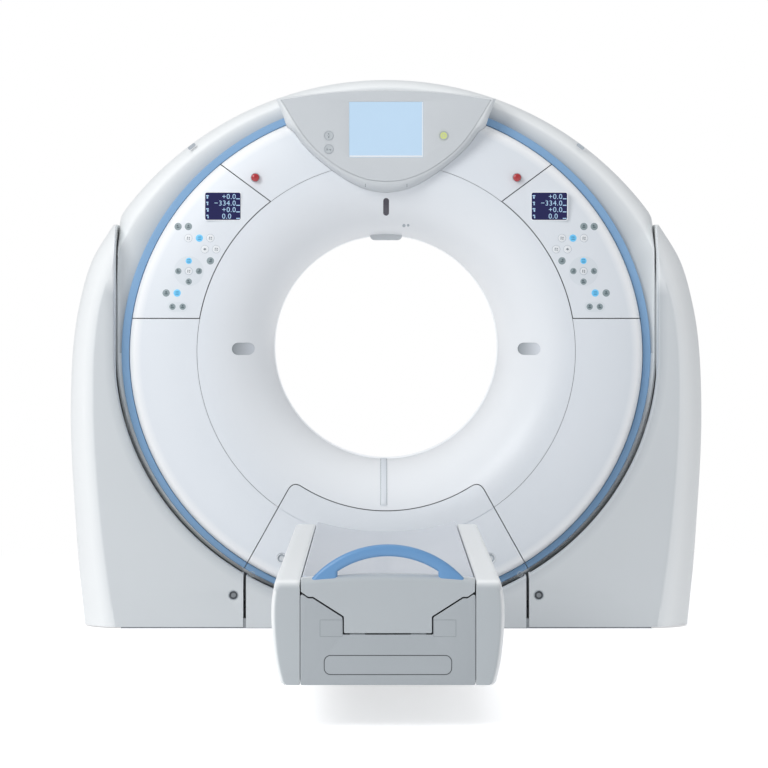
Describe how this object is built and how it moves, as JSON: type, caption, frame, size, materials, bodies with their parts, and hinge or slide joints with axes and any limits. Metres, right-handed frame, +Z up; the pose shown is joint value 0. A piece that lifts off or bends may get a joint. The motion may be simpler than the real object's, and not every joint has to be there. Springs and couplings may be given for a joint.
{
  "type": "ct scanner",
  "caption": "Floor-standing CT scanner with a tilting ring gantry between two stands, an overhead console and a lifting patient couch with a sliding cradle.",
  "frame": {"origin": "on the floor under the middle of the bore, on the underside of the gantry's floor base", "axes": "+Z up; the bore runs along Y; the gantry's front and the couch face -Y; +X is to the right of someone who faces the gantry's front"},
  "size_m": [2.1858, 3.431, 1.89],
  "materials": {
    "white_cover": "satin moulding",
    "console_grey": "satin",
    "blue_trim": "satin",
    "blue_handle": "satin",
    "couch_cover": "satin moulding",
    "cradle_shell": "smooth composite",
    "display": "glossy",
    "screen": "glossy",
    "dark_window": "glossy",
    "window_band": "thin film",
    "grey_trim": "satin",
    "key_green": "satin",
    "key_grey": "satin",
    "stop_red": "glossy",
    "lock_metal": "brushed",
    "frame_steel": "grey paint",
    "frame_aluminium": "cast",
    "bearing_steel": "ground",
    "motor_dark": "dark paint",
    "slip_brass": "bare",
    "column_steel": "light grey paint"
  },
  "bodies": {
    "base": {"floor_base": "frame_steel", "stand_frame_left": "frame_steel", "stand_frame_right": "frame_steel", "trunnion_bearings": "bearing_steel", "tilt_gearmotor": "motor_dark", "power_unit": "frame_steel", "stand_front_cover_left": "white_cover", "stand_front_cover_right": "white_cover", "stand_rear_cover_left": "white_cover", "stand_rear_cover_right": "white_cover", "base_front_cover": "white_cover", "rear_skirt": "white_cover", "base_cover_locks": "lock_metal", "couch_base": "column_steel"},
    "drum": {"tilt_frame": "frame_steel", "bearing_outer_ring": "bearing_steel", "drive_stator": "motor_dark", "brush_block": "motor_dark", "funnel_cover": "white_cover", "outer_cover_top": "white_cover", "outer_cover_left": "white_cover", "outer_cover_right": "white_cover", "service_door": "white_cover", "control_panel_left": "white_cover", "control_panel_right": "white_cover", "panel_displays": "display", "trim_ring": "blue_trim", "arch_shell": "white_cover", "lower_tub": "white_cover", "rear_cover": "white_cover", "scan_window": "window_band", "bore_indicator": "grey_trim", "laser_windows": "dark_window", "funnel_strip": "grey_trim", "door_locks": "lock_metal", "console_housing": "console_grey", "console_face": "console_grey", "console_screen": "screen"},
    "rotor": {"rotor_disc": "frame_aluminium", "bearing_inner_ring": "bearing_steel", "slip_ring": "slip_brass", "xray_tube": "motor_dark", "collimator": "frame_aluminium", "detector_arc": "frame_aluminium", "voltage_tanks": "motor_dark"},
    "start_key": {"start_key": "key_green"},
    "patient_key": {"patient_key": "key_grey"},
    "couch_key": {"couch_key": "key_grey"},
    "stop_button_left": {"stop_button_left": "stop_red"},
    "stop_button_right": {"stop_button_right": "stop_red"},
    "lift_stage_lower": {"lift_stage_lower": "column_steel"},
    "lift_stage_upper": {"lift_stage_upper": "column_steel"},
    "couch": {"couch_frame": "frame_aluminium", "couch_side_cover_left": "couch_cover", "couch_side_cover_right": "couch_cover", "couch_near_cover": "couch_cover", "couch_far_cover": "couch_cover"},
    "tabletop": {"cradle": "cradle_shell", "cradle_carriage": "couch_cover", "couch_handle": "blue_handle"}
  },
  "joints": [
    {"name": "gantry_tilt", "type": "hinge", "parent": "base", "child": "drum", "pos_m": [0, 0, 0.96], "axis": [1, 0, 0], "range_deg": [-30, 30]},
    {"name": "rotor_spin", "type": "hinge", "parent": "drum", "child": "rotor", "pos_m": [0, 0, 0.96], "axis": [0, 1, 0], "continuous": true},
    {"name": "couch_lift", "type": "slide", "parent": "base", "child": "couch", "axis": [0, 0, 1], "range_m": [0, 0.52]},
    {"name": "stage_lower_lift", "type": "slide", "parent": "base", "child": "lift_stage_lower", "axis": [0, 0, 1], "range_m": [0, 0.17333]},
    {"name": "stage_upper_lift", "type": "slide", "parent": "base", "child": "lift_stage_upper", "axis": [0, 0, 1], "range_m": [0, 0.34667]},
    {"name": "tabletop_slide", "type": "slide", "parent": "couch", "child": "tabletop", "axis": [0, 1, 0], "range_m": [0, 1.3]},
    {"name": "start_key_press", "type": "slide", "parent": "drum", "child": "start_key", "axis": [0, 1, 0], "range_m": [0, 0.0015], "stiffness_N_per_m": 600, "springref_m": -0.0005},
    {"name": "patient_key_press", "type": "slide", "parent": "drum", "child": "patient_key", "axis": [0, 1, 0], "range_m": [0, 0.0015], "stiffness_N_per_m": 600, "springref_m": -0.0005},
    {"name": "couch_key_press", "type": "slide", "parent": "drum", "child": "couch_key", "axis": [0, 1, 0], "range_m": [0, 0.0015], "stiffness_N_per_m": 600, "springref_m": -0.0005},
    {"name": "stop_button_left_press", "type": "slide", "parent": "drum", "child": "stop_button_left", "axis": [0, 1, 0], "range_m": [0, 0.004], "stiffness_N_per_m": 1500, "springref_m": -0.001},
    {"name": "stop_button_right_press", "type": "slide", "parent": "drum", "child": "stop_button_right", "axis": [0, 1, 0], "range_m": [0, 0.004], "stiffness_N_per_m": 1500, "springref_m": -0.001}
  ],
  "couplings": [
    {"joint": "stage_lower_lift", "follows": "couch_lift", "ratio": 0.33333},
    {"joint": "stage_upper_lift", "follows": "couch_lift", "ratio": 0.66667},
    {"joint": "tabletop_slide", "follows": "couch_lift", "ratio": 2.5}
  ]
}
